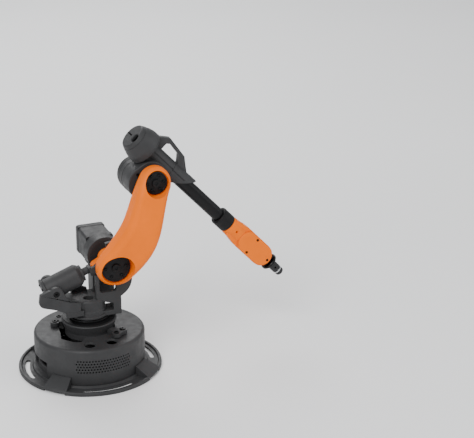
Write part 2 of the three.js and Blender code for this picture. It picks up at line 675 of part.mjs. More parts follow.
function wristHousing() {
  const { start, prong, slot, coverX } = HOUSING5;
  const { s, half } = WRIST;
  const neck = turnedX([
    [0, start + GAP], [12.4, start + GAP], [13.2, start + 4], [13.2, coverX - 5], [0, coverX - 5],
  ]);
  const outline = new THREE.Shape();
  outline.moveTo(start + 5, 12.6);
  outline.bezierCurveTo(start + 15, 12.9, start + 23, half, coverX - 5, half);
  outline.lineTo(s, half);
  outline.absarc(s, 0, half, rad(90), rad(-90), true);
  outline.lineTo(coverX - 5, -half);
  outline.bezierCurveTo(start + 23, -half, start + 15, -12.9, start + 5, -12.6);
  outline.closePath();
  const body = plate(outline, -prong, prong, 1.2, 1, 8);
  const seat = half - 0.4 + GAP;
  return cut(
    join(body, neck),
    alongY(seat, -20, -prong, coverX, 0),
    alongY(seat, prong, 20, coverX, 0),
    block(s - 17, s + 20, -slot, slot, -half - 5, half + 5),
    block(170, s - 16, -slot, slot, -10, 10),
    alongX(5.6, 130, 172),
    alongY(4.3, -20, 20, s, 0),
    alongY(2.6, -20, 0, coverX, 0),
  );
}

function cheekCover(side) {
  const { s, half, near } = WRIST;
  const inner = HOUSING5.prong + GAP;
  const outline = new THREE.Shape();
  outline.absarc(HOUSING5.coverX, 0, half - 0.4, rad(90), rad(270), false);
  outline.absarc(s, 0, half - 0.4, rad(-90), rad(90), false);
  outline.closePath();
  const hollow = new THREE.Shape();
  hollow.absarc(HOUSING5.coverX, 0, half - 2.6, rad(90), rad(270), false);
  hollow.absarc(s, 0, half - 2.6, rad(-90), rad(90), false);
  hollow.closePath();
  const [a, b] = side < 0 ? [-near, -inner] : [inner, near];
  const [c, d] = side < 0 ? [-near + 1.8, -inner + 1] : [inner - 1, near - 1.8];
  return cut(plate(outline, a, b, 0, 1, 8), plate(hollow, c, d, 0, 1, 8));
}

function belt(x0, x1, r, y0, y1) {
  const loop = (radius) => {
    const shape = new THREE.Shape();
    shape.absarc(x0, 0, radius, rad(90), rad(270), false);
    shape.absarc(x1, 0, radius, rad(-90), rad(90), false);
    shape.closePath();
    return shape;
  };
  return cut(plate(loop(r + 1.2), y0, y1, 0, 1, 7), plate(loop(r), y0 - 1, y1 + 1, 0, 1, 7));
}

const PULLEY = { r: 7.2, y0: -12.3, y1: -10.2, x: HOUSING5.coverX };

function buildForearmRoll() {
  const roll = forearmGroup();
  const shaft = alongX(2.8, -38, -20);
  const tube = join(cut(alongX(TUBE_R, -22, 145), alongX(TUBE_R - 2, -18, 160)), shaft);
  piece(roll, "forearm_tube", "black", tube);
  const bore = TUBE_R + GAP;
  const collar = turnedX([[bore, 125], [12, 125], [13, 126], [13, 144], [12.4, 145], [bore, 145]]);
  piece(roll, "tube_collar", "black", collar);
  piece(roll, "wrist_housing", "orange", wristHousing());
  piece(roll, "wrist_cover_near", "orange", cheekCover(-1));
  piece(roll, "wrist_cover_far", "orange", cheekCover(1));
  piece(roll, "j5_motor", "motor", block(172, 195, -5.9, 5.9, -9.5, 9.5));
  piece(roll, "j5_belt", "rubber", belt(PULLEY.x, WRIST.s, PULLEY.r + GAP, PULLEY.y0, PULLEY.y1));
  arm.add(roll);

  const motorPulley = forearmGroup();
  const { r, y0, y1, x } = PULLEY;
  const pulley = join(alongY(r, y0, y1, x, 0), alongY(2.2, -10.5, -6.3, x, 0));
  piece(motorPulley, "j5_motor_pulley", "brass", pulley);
  arm.add(motorPulley);
}

// ---------------------------------------------------------------- wrist and tool

function buildWrist() {
  const wrist = forearmGroup();
  const { s } = WRIST;
  const y = HOUSING5.slot - 0.4;
  const barrel = alongY(13.6, -y, y, s, 0);
  const snout = block(s, FLANGE_S - GAP, -y, y, -10.4, 10.4);
  const body = cut(
    join(barrel, snout),
    alongY(3.2, -20, 20, s, 0),
    block(s + 5, FLANGE_S + 5, -4.4, 4.4, -6.4, 6.4),
  );
  piece(wrist, "wrist_block", "black", body);
  piece(wrist, "j5_shaft", "steel", alongY(2.9, -10, 9.2, s, 0));
  const pulley = cut(alongY(PULLEY.r, PULLEY.y0, PULLEY.y1 - 0.1, s, 0), alongY(3, -10.1, -9, s, 0));
  piece(wrist, "j5_wrist_pulley", "brass", pulley);
  piece(wrist, "j6_motor", "motor", block(s + 5.4, FLANGE_S - 1.5, -4, 4, -6, 6));
  arm.add(wrist);

  const tool = forearmGroup();
  const flange = turnedX([[0, FLANGE_S], [11.4, FLANGE_S], [12.2, FLANGE_S + 0.8], [12.2, FLANGE_S + 3],
    [11.2, FLANGE_S + 3.8], [0, FLANGE_S + 3.8]]);
  piece(tool, "tool_flange", "black", flange);
  const face = FLANGE_S + 3.8 + GAP;
  const socket = cut(
    turnedX([
      [0, face], [10.4, face], [10.4, face + 0.9], [6.4, face + 1.4], [6.4, face + 15.4], [0, face + 15.4],
    ]),
    alongY(1.5, -9, -3, face + 9, 0),
  );
  piece(tool, "tool_socket", "motor", socket);
  const neck = face + 15.4 + GAP;
  piece(tool, "tool_ring", "steel", turnedX([[0, neck], [6.2, neck], [6.2, neck + 1.9], [0, neck + 1.9]]));
  const tipStart = neck + 1.9 + GAP;
  const tip = [[0, tipStart], [6, tipStart], [6, tipStart + 4], [5, tipStart + 5.4], [0, tipStart + 5.4]];
  piece(tool, "tool_tip", "motor", turnedX(tip));
  arm.add(tool);
}

buildBase();
buildTurret();
buildUpperArm();
buildBalancer();
buildForearm();
buildForearmRoll();
buildWrist();

export default arm;
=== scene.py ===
"""Looks for the desktop robot arm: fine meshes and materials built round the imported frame.

Outlines and profiles are in millimetres, in the frame of the part that they belong to.
make() turns them to metres.
"""

import json
import math

import bmesh
import bpy
from mathutils import Matrix, Vector


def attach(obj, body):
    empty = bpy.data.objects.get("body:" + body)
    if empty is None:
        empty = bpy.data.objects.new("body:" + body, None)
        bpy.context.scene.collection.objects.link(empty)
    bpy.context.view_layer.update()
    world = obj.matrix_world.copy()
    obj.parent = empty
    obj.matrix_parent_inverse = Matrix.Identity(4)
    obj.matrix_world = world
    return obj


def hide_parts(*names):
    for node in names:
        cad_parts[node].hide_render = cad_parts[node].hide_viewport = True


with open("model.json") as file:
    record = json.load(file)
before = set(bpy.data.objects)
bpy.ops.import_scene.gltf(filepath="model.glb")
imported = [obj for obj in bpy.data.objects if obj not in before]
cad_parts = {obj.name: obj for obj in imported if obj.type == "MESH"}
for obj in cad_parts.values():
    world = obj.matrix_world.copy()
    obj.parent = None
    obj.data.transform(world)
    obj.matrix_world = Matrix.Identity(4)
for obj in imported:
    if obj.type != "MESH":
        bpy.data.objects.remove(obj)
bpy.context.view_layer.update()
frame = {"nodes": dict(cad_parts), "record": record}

MM = 0.001
GAP = 0.35  # between faces that touch
SQUARE = ((-1, -1), (1, -1), (1, 1), (-1, 1))  # the corners of a square of half size 1

# ------------------------------------------------------- driving dimensions, mm, as in the CAD model

RIM_R, RIM_TOP, SEAT_R, LIP_R, CHANNEL_Z, BORE_R = 97.2, 5.5, 77.5, 93.4, 3.0, 66.0
COVER_R, WALL, SHOULDER_Z, TOP_Z, OPENING_R = 75.0, 3.0, 53.5, 57.5, 34.6
PAD_TOP, COLLAR_R, COLLAR_TOP = 16.5, 70.0, 17.0
PADS, PAD_HALF = (-137, -43, 57, 123), 10.5
SLOTS, SLOT_R, SLOT_HALF = ((173, 17), (7, 17), (-90, 22)), 85.5, 3.2
CABLE_HOLES, CABLE_HOLE_AT, CABLE_HOLE_R = (-106, -75.3), 56.7, 7.3
CABLE_EXIT = (
    (-32, 8, 2), (-39.6, 18.6, 3), (-42.2, -6.4, 14), (-46, -24, 4), (-32.7, -39.4, 6), (-23.2, -43.2, 5),
    (-15.8, -33, 2),
)
NOTCH_HALF, NOTCH_TOP = 23, 28
HOUSING_R, HOUSING_FOOT, HOUSING_BOTTOM, HOUSING_TOP = 37.5, 33.0, 50.0, 72.2
LUGS = ((145.5, 10.7, 46.5), (-54.4, 7.4, 51.7))  # middle, half the angle between the bolts, bolts' distance
LUG_BOLTS = [(r, at + side * spread) for at, spread, r in LUGS for side in (-1, 1)]
LUG_TOP, LUG_SEAT = 63.4, 60.4
J2_X, J2_Z = 28.5, 154.0
UPPER, LEAN = 126.0, math.radians(26.7)
PITCH, OFFSET = math.radians(47), 24.4
TRUNNION = (-50.0, 122.0)
EYE = (12.4, 144.6)
YOKE_IN, YOKE_OUT = 18.0, 24.0
DECK_Z, DECK_TOP, COLUMN_X = 92.0, 103.0, 41.0
EAR_Y = (-18.4, -12.4)
ARM_NEAR, ARM_FAR, ARM_BULGE = -50.0, -25.4, 0.36
RECESSES = ((0, 21.6, -35.8), (UPPER, 17.2, -39.5))  # height on the upper arm, radius, floor
HUB_R, HUB_LOW_R, HUB_DROP, HUB_Y = 22.5, 24.0, 9.5, (-21.6, 8.0)
MOTOR3_H = -OFFSET - HUB_DROP
TUBE_R, SLEEVE_R = 9.2, 13.6
WRIST_S, WRIST_HALF, COVER_Y, PRONG_Y = 212.5, 15.7, 14.5, 9.4
FLANGE_S = 233.5

ELBOW = (J2_X + UPPER * math.sin(LEAN), J2_Z + UPPER * math.cos(LEAN))
UPPER_FRAME = Matrix.Translation((J2_X, 0, J2_Z)) @ Matrix.Rotation(LEAN, 4, "Y")
FOREARM_FRAME = Matrix.Translation(
    (ELBOW[0] + OFFSET * math.sin(PITCH), 0, ELBOW[1] + OFFSET * math.cos(PITCH))
) @ Matrix.Rotation(PITCH, 4, "Y")
BALANCER_TILT = math.atan2(EYE[1] - TRUNNION[1], EYE[0] - TRUNNION[0])
BALANCER_LENGTH = math.hypot(EYE[1] - TRUNNION[1], EYE[0] - TRUNNION[0])
BALANCER_FRAME = Matrix.Translation((TRUNNION[0], 0, TRUNNION[1])) @ Matrix.Rotation(-BALANCER_TILT, 4, "Y")
WORLD = Matrix.Identity(4)

# ---------------------------------------------------------------- outlines


def polar(r, degrees):
    return r * math.cos(math.radians(degrees)), r * math.sin(math.radians(degrees))


def arc(x, y, r, start, end, steps=24):
    """Points on an arc, from start to end in degrees."""
    return [
        (x + r * math.cos(math.radians(start + (end - start) * i / steps)),
         y + r * math.sin(math.radians(start + (end - start) * i / steps)))
        for i in range(steps + 1)
    ]


def bezier(a, b, c, d, steps=16):
    """Points on a cubic curve, without its first point."""
    out = []
    for i in range(1, steps + 1):
        t = i / steps
        k = ((1 - t) ** 3, 3 * t * (1 - t) ** 2, 3 * t * t * (1 - t), t ** 3)
        out.append(tuple(sum(w * p[n] for w, p in zip(k, (a, b, c, d))) for n in range(2)))
    return out


def rounded(points, radius, steps=5, open_ends=False):
    """The outline with its corners rounded. A point may carry its own radius as a third number."""
    out = []
    count = len(points)
    for i, point in enumerate(points):
        here = Vector(point[:2])
        r = point[2] if len(point) > 2 else radius
        ends = open_ends and i in (0, count - 1)
        before = Vector(points[i - 1][:2]) - here
        after = Vector(points[(i + 1) % count][:2]) - here
        if r <= 0 or ends or before.length < 1e-6 or after.length < 1e-6:
            out.append(tuple(here))
            continue
        turn = before.angle(after)
        if turn > math.radians(172):
            out.append(tuple(here))
            continue
        reach = min(r / math.tan(turn / 2), before.length * 0.48, after.length * 0.48)
        r = reach * math.tan(turn / 2)
        a, b = before.normalized(), after.normalized()
        centre = here + (a + b).normalized() * (r / math.sin(turn / 2))
        start = here + a * reach - centre
        sweep = start.angle_signed(here + b * reach - centre)
        for k in range(steps + 1):
            spin = Matrix.Rotation(-sweep * k / steps, 2)
            out.append(tuple(centre + spin @ start))
    return out


def cleaned(points):
    """The outline without doubled points."""
    out = []
    for p in points:
        if not out or math.dist(p, out[-1]) > 1e-4:
            out.append(p)
    if math.dist(out[0], out[-1]) < 1e-4:
        out.pop()
    return out


def area(points):
    return sum(a[0] * b[1] - b[0] * a[1] for a, b in zip(points, points[1:] + points[:1])) / 2


def inset(points, distance):
    """The outline moved inwards by distance, corners kept."""
    out = []
    count = len(points)
    for i in range(count):
        p, q, r = (Vector(points[(i + k) % count]) for k in (-1, 0, 1))
        a, b = (q - p).normalized(), (r - q).normalized()
        n1, n2 = Vector((-a.y, a.x)), Vector((-b.y, b.x))
        out.append(tuple(q + (n1 + n2) / max(1 + n1.dot(n2), 0.25) * distance))
    return out


# ---------------------------------------------------------------- meshes


def make(name, verts, faces, place=WORLD):
    """An object from points in millimetres, put in place, with its mesh in the row frame in metres."""
    mesh = bpy.data.meshes.new(name)
    mesh.from_pydata([tuple((place @ Vector(v)) * MM) for v in verts], [], faces)
    bm = bmesh.new()
    bm.from_mesh(mesh)
    bmesh.ops.remove_doubles(bm, verts=bm.verts, dist=1e-7)
    bmesh.ops.recalc_face_normals(bm, faces=bm.faces)
    if bm.calc_volume(signed=True) < 0:
        bmesh.ops.reverse_faces(bm, faces=bm.faces)
    bm.to_mesh(mesh)
    bm.free()
    obj = bpy.data.objects.new(name, mesh)
    bpy.context.scene.collection.objects.link(obj)
    return obj


AXES = {
    "X": Matrix(((0, 0, 1), (1, 0, 0), (0, 1, 0))).to_4x4(),
    "Y": Matrix(((0, 1, 0), (0, 0, 1), (1, 0, 0))).to_4x4(),
    "Z": Matrix.Identity(4),
}


def turned(profile, axis="Z", at=(0, 0, 0), steps=96, place=WORLD):
    """A solid turned from (radius, distance along the axis) points, closed if it has a bore."""
    verts, rings = [], []
    for r, along in profile:
        if r < 1e-6:
            rings.append([len(verts)])
            verts.append((0, 0, along))
            continue
        rings.append(list(range(len(verts), len(verts) + steps)))
        verts += [(*polar(r, 360 * i / steps), along) for i in range(steps)]
    pairs = list(zip(rings, rings[1:]))
    if len(rings[0]) > 1 or len(rings[-1]) > 1:
        pairs.append((rings[-1], rings[0]))
    faces = []
    for low, high in pairs:
        for i in range(steps):
            j = (i + 1) % steps
            if len(low) == 1 and len(high) == 1:
                continue
            if len(low) == 1:
                faces.append((low[0], high[j], high[i]))
            elif len(high) == 1:
                faces.append((low[i], low[j], high[0]))
            else:
                faces.append((low[i], low[j], high[j], high[i]))
    spot = place @ Matrix.Translation(at) @ AXES[axis]
    return make("turned", verts, faces, spot)


def rod(r, a, b, axis="Y", at=(0, 0, 0), edge=0.0, steps=64, place=WORLD):
    """A round bar along an axis from a to b, with rounded edges."""
    profile = [(0, a), (r, a), (r, b), (0, b)]
    if edge:
        profile = rounded(profile, edge, 4, open_ends=True)
    return turned(profile, axis, at, steps, place)


def slab(outline, a, b, edge=0.5, depth=None, edge_b=None, axis="Y", steps=4, place=WORLD):
    """An outline extruded from a to b, with rounded edges.

    Along Y the outline is drawn in X and Z, along Z in X and Y.

    edge is how far the rounding reaches in from the outline, depth how far it reaches along the axis.
    """
    points = cleaned(outline)
    if area(points) < 0:
        points.reverse()
    levels = []
    for position, sign, reach in ((a, 1, edge), (b, -1, edge if edge_b is None else edge_b)):
        deep = reach if depth is None else depth
        ring = []
        for k in range(steps + 1 if reach else 1):
            angle = math.pi / 2 * (1 - k / steps) if reach else 0
            along = position + sign * deep * (1 - math.sin(angle)) if reach else position
            ring.append((reach * (1 - math.cos(angle)) if reach else 0, along))
        levels.append(ring if sign > 0 else ring[::-1])
    rings = levels[0] + levels[1]
    verts, loops = [], []
    for distance, along in rings:
        flat = inset(points, distance) if distance else points
        loops.append(range(len(verts), len(verts) + len(flat)))
        verts += [(x, along, z) if axis == "Y" else (x, z, along) for x, z in flat]
    count = len(points)
    faces = [tuple(loops[0]), tuple(reversed(loops[-1]))]
    for low, high in zip(loops, loops[1:]):
        faces += [(low[i], low[(i + 1) % count], high[(i + 1) % count], high[i]) for i in range(count)]
    return make("slab", verts, faces, place)


def ring_sector(r0, r1, at, half, z0, z1, edge=0.0, ends=False):
    """A ring sector about Z. With ends, its ends are half round."""
    start, end = at - half, at + half
    outer = arc(0, 0, r1, start, end, 24)
    inner = arc(0, 0, r0, end, start, 24)
    if ends:
        middle, r = (r0 + r1) / 2, (r1 - r0) / 2
        far = arc(*polar(middle, end), r, end, end + 180, 10)[1:-1]
        near = arc(*polar(middle, start), r, start + 180, start + 360, 10)[1:-1]
        return slab(outer + far + inner + near, z0, z1, edge, axis="Z")
    return slab(outer + inner, z0, z1, edge, axis="Z")


def block(x0, x1, y0, y1, z0, z1, edge=0.5, corner=1.0, axis="Y", place=WORLD):
    """A box with rounded corners and edges, from its lowest to its highest corner."""
    if axis == "Y":
        outline = rounded([(x0, z0), (x1, z0), (x1, z1), (x0, z1)], corner)
        return slab(outline, y0, y1, edge, place=place)
    outline = rounded([(x0, y0), (x1, y0), (x1, y1), (x0, y1)], corner)
    return slab(outline, z0, z1, edge, axis="Z", place=place)


def applied(obj):
    """The object with its modifiers made real."""
    depsgraph = bpy.context.evaluated_depsgraph_get()
    mesh = bpy.data.meshes.new_from_object(obj.evaluated_get(depsgraph))
    obj.modifiers.clear()
    obj.data = mesh
    return obj


def boolean(obj, tools, operation):
    for tool in tools:
        step = obj.modifiers.new("step", "BOOLEAN")
        step.operation = operation
        step.solver = "EXACT"
        step.object = tool
    applied(obj)
    for tool in tools:
        bpy.data.objects.remove(tool)
    return obj


def cut(obj, *tools):
    return boolean(obj, tools, "DIFFERENCE")


def join(obj, *tools):
    return boolean(obj, tools, "UNION")


def together(objects):
    """Several separate solids as one object."""
    bm = bmesh.new()
    for obj in objects:
        bm.from_mesh(obj.data)
    first, *rest = objects
    bm.to_mesh(first.data)
    bm.free()
    for obj in rest:
        bpy.data.objects.remove(obj)
    return first


def moved(obj, place):
    """The object's mesh put in another frame."""
    spot = place.copy()
    spot.translation *= MM
    obj.data.transform(spot)
    return obj


def soften(obj, width, segments=2, angle=40):
    """Rounds the edges sharper than angle."""
    bevel = obj.modifiers.new("bevel", "BEVEL")
    bevel.width = width * MM
    bevel.segments = segments
    bevel.limit_method = "ANGLE"
    bevel.angle_limit = math.radians(angle)
    return applied(obj)


def shaded(obj, angle=34):
    """Smooth faces with sharp edges kept, and normals that follow the larger faces."""
    bm = bmesh.new()
    bm.from_mesh(obj.data)
    bmesh.ops.dissolve_degenerate(bm, edges=bm.edges, dist=1e-6)
    for face in bm.faces:
        face.smooth = True
    for edge in bm.edges:
        if len(edge.link_faces) == 2:
            edge.smooth = edge.calc_face_angle(0) < math.radians(angle)
    bm.to_mesh(obj.data)
    bm.free()
    weighted = obj.modifiers.new("weighted", "WEIGHTED_NORMAL")
    weighted.keep_sharp = True
    return applied(obj)


def dress(obj, name, body, look, slot, *nodes):
    """Names a finished piece, gives it its material and puts it on its body in place of its CAD nodes."""
    obj.name = name
    obj.data.name = name
    shaded(obj)
    obj.data.materials.clear()
    obj.data.materials.append(look)
    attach(obj, body)
    if nodes:
        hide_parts(*nodes)
    return obj


# ---------------------------------------------------------------- materials


class Nodes:
    """A small helper to write a node tree."""

    def __init__(self, name):
        self.material = bpy.data.materials.new(name)
        self.material.use_nodes = True
        self.tree = self.material.node_tree
        self.shader = next(n for n in self.tree.nodes if n.type == "BSDF_PRINCIPLED")
        coordinates = self.tree.nodes.new("ShaderNodeTexCoord")
        self.place = coordinates.outputs["Object"]

    def add(self, kind, **values):
        node = self.tree.nodes.new(kind)
        for key, value in values.items():
            node.inputs[key.replace("_", " ")].default_value = value
        return node

    def link(self, output, target):
        self.tree.links.new(output, target)

    def noise(self, scale, detail=3.0, roughness=0.55, stretch=None):
        node = self.add("ShaderNodeTexNoise", Scale=scale, Detail=detail, Roughness=roughness)
        if stretch is None:
            self.link(self.place, node.inputs["Vector"])
        else:
            mapping = self.add("ShaderNodeMapping", Scale=stretch)
            self.link(self.place, mapping.inputs["Vector"])
            self.link(mapping.outputs["Vector"], node.inputs["Vector"])
        return node.outputs["Fac"]

    def ramp(self, source, low, high, start=0.35, end=0.65):
        """Maps a 0 to 1 value onto low to high between start and end."""
        node = self.add("ShaderNodeMapRange", From_Min=start, From_Max=end, To_Min=low, To_Max=high)
        self.link(source, node.inputs["Value"])
        return node.outputs["Result"]

    def blend(self, source, a, b, start=0.3, end=0.7):
        """Colours between a and b by a 0 to 1 value."""
        node = self.tree.nodes.new("ShaderNodeValToRGB")
        node.color_ramp.elements[0].position = start
        node.color_ramp.elements[1].position = end
        node.color_ramp.elements[0].color = (*a, 1)
        node.color_ramp.elements[1].color = (*b, 1)
        self.link(source, node.inputs["Fac"])
        return node.outputs["Color"]

    def bump(self, *layers):
        """Chains bump layers of (height output, distance in metres, strength)."""
        normal = None
        for height, distance, strength in layers:
            node = self.add("ShaderNodeBump", Distance=distance, Strength=strength)
            self.link(height, node.inputs["Height"])
            if normal is not None:
                self.link(normal, node.inputs["Normal"])
            normal = node.outputs["Normal"]
        self.link(normal, self.shader.inputs["Normal"])


def tint(color, factor):
    return tuple(min(1.0, c * factor) for c in color)


def moulded(name, color, rough, grain=0.00005, grain_scale=2600, spread=0.14, shine=0.35):
    """Moulded or powder-coated surface: a fine grain, slight patches of tone and of gloss."""
    n = Nodes(name)
    patches = n.noise(38, 4)
    fine = n.noise(grain_scale, 2, 0.6)
    n.link(n.blend(patches, tint(color, 1 - spread), tint(color, 1 + spread)),
        n.shader.inputs["Base Color"])
    n.link(n.ramp(n.noise(120, 5), rough - 0.05, rough + 0.07), n.shader.inputs["Roughness"])
    n.shader.inputs["Specular IOR Level"].default_value = shine
    n.bump((n.noise(95, 3), 0.00012, 0.12), (fine, grain, 0.55))
    return n.material


def machined(name, color, rough, stretch=(1, 1, 1), metal=1.0, scale=900, shine=0.5):
    """Machined or drawn metal with fine marks."""
    n = Nodes(name)
    marks = n.noise(scale, 4, 0.6, stretch)
    n.link(n.blend(n.noise(60, 4), tint(color, 0.88), tint(color, 1.1)), n.shader.inputs["Base Color"])
    n.link(n.ramp(marks, rough - 0.06, rough + 0.1), n.shader.inputs["Roughness"])
    n.shader.inputs["Metallic"].default_value = metal
    n.shader.inputs["Specular IOR Level"].default_value = shine
    n.bump((marks, 0.00002, 0.35))
    return n.material


CASTING = (0.030, 0.030, 0.031)
MOTOR = (0.024, 0.024, 0.025)
ORANGE = (0.86, 0.16, 0.0)
BLACK = (0.004, 0.004, 0.0045)
STEEL = (0.5, 0.51, 0.52)
BRASS = (0.55, 0.38, 0.13)
BOARD_GREEN = (0.02, 0.12, 0.05)
RUBBER = (0.015, 0.015, 0.015)

LOOKS = {
    "grey_casting": moulded("grey_casting", CASTING, 0.52, 0.00006, 2200, 0.14, 0.3),
    "motor_grey": moulded("motor_grey", MOTOR, 0.5, 0.00004, 2600, 0.14, 0.22),
    "orange_shell": moulded("orange_shell", ORANGE, 0.46, 0.00002, 3000, 0.04, 0.1),
    "black_plastic": moulded("black_plastic", BLACK, 0.5, 0.00004, 2400, 0.14, 0.22),
    "black_tube": machined("black_tube", BLACK, 0.34, (1, 1, 1), 0.0, 900, 0.2),
    "steel": machined("steel", STEEL, 0.3),
    "brass": machined("brass", BRASS, 0.3),
    "circuit_board": moulded("circuit_board", BOARD_GREEN, 0.4),
    "belt_rubber": moulded("belt_rubber", RUBBER, 0.75),
}


def piece(obj, node, body, slot, extra=()):
    """A fine mesh that stands for the CAD node of that name."""
    return dress(obj, f"{node}_fine", body, LOOKS[slot], slot, node, *extra)


def detail(obj, name, body, slot):
    """A small piece that has no CAD node."""
    return dress(obj, name, body, LOOKS[slot], slot)


def hex_outline(x, z, across):
    return [(x + px, z + pz) for px, pz in (polar(across / math.sqrt(3), 60 * i + 30) for i in range(6))]


def cap_screw(r, head, at, axis, sign, place=WORLD):
    """A socket screw's head that stands out along the axis, with its hex socket."""
    profile = rounded([(0, 0), (r, 0), (r, head), (0, head)], min(0.5, r * 0.18), 4, open_ends=True)
    body = turned([(p, sign * q) for p, q in profile], axis, at, 32, place)
    depth = sorted((sign * head * 0.35, sign * (head + 1)))
    along = {"X": 0, "Y": 1, "Z": 2}[axis]
    spot = Matrix.Translation(at) @ {"Z": Matrix.Identity(4), "Y": Matrix.Identity(4), "X": AXES["X"]}[axis]
    outline = hex_outline(0, 0, r * 1.05)
    tool = slab(outline, depth[0], depth[1], 0, axis="Y" if along == 1 else "Z", place=place @ spot)
    return cut(body, tool)


# ---------------------------------------------------------------- base


def base_flange():
    profile = rounded([
        (BORE_R, 0), (RIM_R, 0, 0.8), (RIM_R, RIM_TOP, 1.4), (LIP_R, RIM_TOP, 0.8),
        (LIP_R - 1, CHANNEL_Z, 0.8), (SEAT_R + 1, CHANNEL_Z, 0.8), (SEAT_R, RIM_TOP, 0.5),
        (COLLAR_R, RIM_TOP, 0.4), (COLLAR_R, COLLAR_TOP, 0.6), (COLLAR_R - 3, COLLAR_TOP, 0.6),
        (COLLAR_R - 3, RIM_TOP), (BORE_R, RIM_TOP),
    ], 0.3, 4)
    flange = turned(profile, steps=180)
    wedge = rounded([
        (COVER_R + GAP, 1), (RIM_R - 1, 1), (RIM_R - 1, RIM_TOP, 0.8), (COVER_R + 1.4, PAD_TOP, 1.0),
        (COVER_R + GAP, PAD_TOP, 0.3),
    ], 0.2, 4)
    for at in PADS:
        pad = turned(wedge, steps=180)
        boolean(pad, [ring_sector(SEAT_R - 4, RIM_R + 5, at, PAD_HALF, 0, PAD_TOP + 5)], "INTERSECT")
        join(flange, soften(pad, 0.7, 3, 50))
        cut(flange, ring_sector(LIP_R - 2, RIM_R + 5, at, PAD_HALF - 1, -1, 3))
    for at, half in SLOTS:
        cut(flange, ring_sector(SLOT_R - SLOT_HALF, SLOT_R + SLOT_HALF, at, half, -1, RIM_TOP + 4, 0, True))
    soften(flange, 0.35)
    piece(flange, "base_flange", "base", "grey_casting")


def vent_cutter():
    """Five staggered rows of small round holes in the cover's front."""
    middle, half, columns, pitch = -91.5, 27.5, 19, 4.0
    turn = 2 * half / (columns - 1)
    holes = []
    for row in range(5):
        shift = 0.5 if row % 2 else 0.0
        for column in range(columns + row % 2):
            place = Matrix.Rotation(math.radians(middle - half + (column - shift) * turn), 4, "Z")
            profile = [(0, 68), (1.15, 68), (1.15, 74.7), (1.5, 75.4), (0, 75.4)]
            holes.append(turned(profile, "X", (0, 0, 24 + row * pitch), 16, place))
    return together(holes)


def base_cover():
    floor = RIM_TOP + GAP
    profile = rounded([
        (COVER_R, floor, 0.4), (COVER_R, SHOULDER_Z + 1.9, 4.5), (OPENING_R, TOP_Z, 0.5),
        (OPENING_R, TOP_Z - WALL, 0.4), (COVER_R - WALL, SHOULDER_Z - 2, 2.5), (COVER_R - WALL, floor, 0.3),
    ], 0.4, 8)
    cover = turned(profile, steps=240)
    tools = [vent_cutter()]
    for at in CABLE_HOLES:
        x, y = polar(CABLE_HOLE_AT, at)
        r = CABLE_HOLE_R
        hole = [(0, 40), (r, 40), (r, 54.4), (r + 0.9, 56), (r + 0.9, 70), (0, 70)]
        tools.append(turned(hole, "Z", (x, y, 0), 48))
    tools.append(slab(rounded(CABLE_EXIT, 3, 8), 40, 70, 0, axis="Z"))
    for at in (0, 180):
        tools.append(ring_sector(60, 90, at, NOTCH_HALF, 0, NOTCH_TOP))
    for x in (-24, 0, 24):
        tools.append(block(x - 7.2, x + 7.2, 60, 80, 18, 34, 0, 1.2))
    for tool in tools:
        cut(cover, tool)
    soften(cover, 0.3, 2, 60)
    piece(cover, "base_cover", "base", "grey_casting")


def housing():
    foot = TOP_Z + GAP + 0.3
    body = turned(rounded([
        (10, HOUSING_BOTTOM), (HOUSING_FOOT, HOUSING_BOTTOM), (HOUSING_FOOT, foot, 0.5),
        (HOUSING_R, HOUSING_TOP - 1.2, 0.4), (HOUSING_R - 1.2, HOUSING_TOP, 0.4), (10, HOUSING_TOP),
    ], 0.4, 5), steps=128)
    for at, spread, r in LUGS:
        lug = ring_sector(HOUSING_FOOT - 1, r + 4.6, at, spread, foot, LUG_TOP)
        for side in (-1, 1):
            join(lug, rod(6.2, foot, LUG_TOP, "Z", (*polar(r, at + side * spread), 0)))
        join(body, soften(lug, 0.6, 3, 50))
    for r, at in LUG_BOLTS:
        cut(body, rod(4.2, LUG_SEAT, 70, "Z", (*polar(r, at), 0)))
    soften(body, 0.3)
    piece(body, "j1_housing", "base", "grey_casting")
    for i, (r, at) in enumerate(LUG_BOLTS):
        screw = cap_screw(3.4, LUG_TOP + 1.4 - LUG_SEAT - GAP, (*polar(r, at), LUG_SEAT + GAP), "Z", 1)
        piece(screw, f"j1_housing_bolt_{i + 1}", "base", "black_tube")


def base_rest():
    ring = turned(rounded([(12, 72.5), (36, 72.5, 0.3), (36, 74, 0.5), (12, 74)], 0.3, 5), steps=128)
    piece(ring, "j1_reducer", "base", "black_plastic")
    plate = rod(BORE_R - GAP - 0.2, 0, 3, "Z", edge=0.4, steps=128)
    for i in range(6):
        x, y = polar(58, 60 * i + 30)
        cut(plate, turned([(0, -1), (3.4, -1), (3.4, 0.2), (1.6, 2.0), (1.6, 5), (0, 5)], "Z", (x, y, 0),
            24))
    piece(plate, "bottom_plate", "base", "black_plastic")
    socket = cut(block(17.2, 30.8, 60, 73.4, 19, 33, 0.5, 1.0), rod(3.4, 64, 80, at=(24, 0, 26)))
    join(socket, rod(1.0, 63, 72.4, at=(24, 0, 26), edge=0.4, steps=24))
    piece(socket, "power_socket", "base", "black_plastic")
    data = cut(block(-6.2, 6.2, 62, 74.4, 20.5, 31.5, 0.3, 0.6),
        block(-4.4, 4.4, 65, 80, 22.2, 29.8, 0, 0.5))
    join(data, block(-3.0, 3.0, 64, 73, 25.2, 27.2, 0.2, 0.3))
    piece(data, "data_socket", "base", "steel")
    button = block(-30.4, -17.6, 66.5, 74.6, 18.8, 33.2, 1.0, 1.6)
    cut(button, rod(30, -30.5, -17.5, "X", (0, 104.1, 26)))
    piece(button, "power_button", "button", "black_plastic")


# ---------------------------------------------------------------- turret


